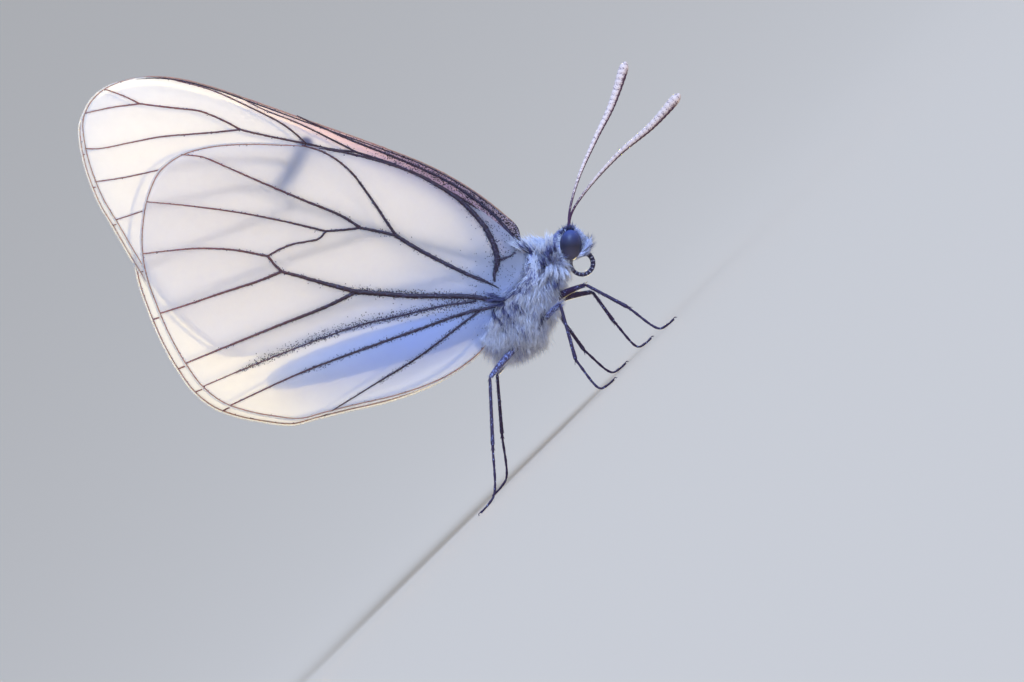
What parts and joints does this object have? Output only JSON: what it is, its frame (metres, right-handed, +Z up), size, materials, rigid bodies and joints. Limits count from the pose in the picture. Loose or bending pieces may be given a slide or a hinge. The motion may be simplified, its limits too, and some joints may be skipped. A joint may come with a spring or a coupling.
{
  "type": "black-veined white butterfly",
  "caption": "White butterfly with dark wing veins, standing on its feet with the wings closed upright over its back; a still life-size model.",
  "frame": {"origin": "middle of the foot of the insect's own box, on the floor it stands on", "axes": "+X towards the head, +Y towards the insect's left, +Z up"},
  "size_m": [0.04, 0.0114, 0.0409],
  "materials": {
    "wing_membrane": "thin creamy white scaled membrane with dark brown-black veins",
    "body_coat": "long blue-grey and white hair over black cuticle",
    "leg_cuticle": "black cuticle with fine hairs, satin",
    "eye": "dark compound eye, glossy, blue-grey",
    "antenna": "dark ringed feeler dusted with pale scales, with a pale tip"
  },
  "bodies": {
    "root": {"head": "body_coat", "eye_right": "eye", "eye_left": "eye", "antenna_right": "antenna", "antenna_left": "antenna", "palp_right": "body_coat", "palp_left": "body_coat", "proboscis": "leg_cuticle", "thorax": "body_coat", "abdomen": "body_coat", "forewing_right": "wing_membrane", "forewing_left": "wing_membrane", "hindwing_right": "wing_membrane", "hindwing_left": "wing_membrane", "femur_front_right": "leg_cuticle", "tibia_front_right": "leg_cuticle", "tarsus_front_right": "leg_cuticle", "femur_front_left": "leg_cuticle", "tibia_front_left": "leg_cuticle", "tarsus_front_left": "leg_cuticle", "femur_middle_right": "leg_cuticle", "tibia_middle_right": "leg_cuticle", "tarsus_middle_right": "leg_cuticle", "femur_middle_left": "leg_cuticle", "tibia_middle_left": "leg_cuticle", "tarsus_middle_left": "leg_cuticle", "femur_hind_right": "leg_cuticle", "tibia_hind_right": "leg_cuticle", "tarsus_hind_right": "leg_cuticle", "femur_hind_left": "leg_cuticle", "tibia_hind_left": "leg_cuticle", "tarsus_hind_left": "leg_cuticle"}
  },
  "joints": []
}
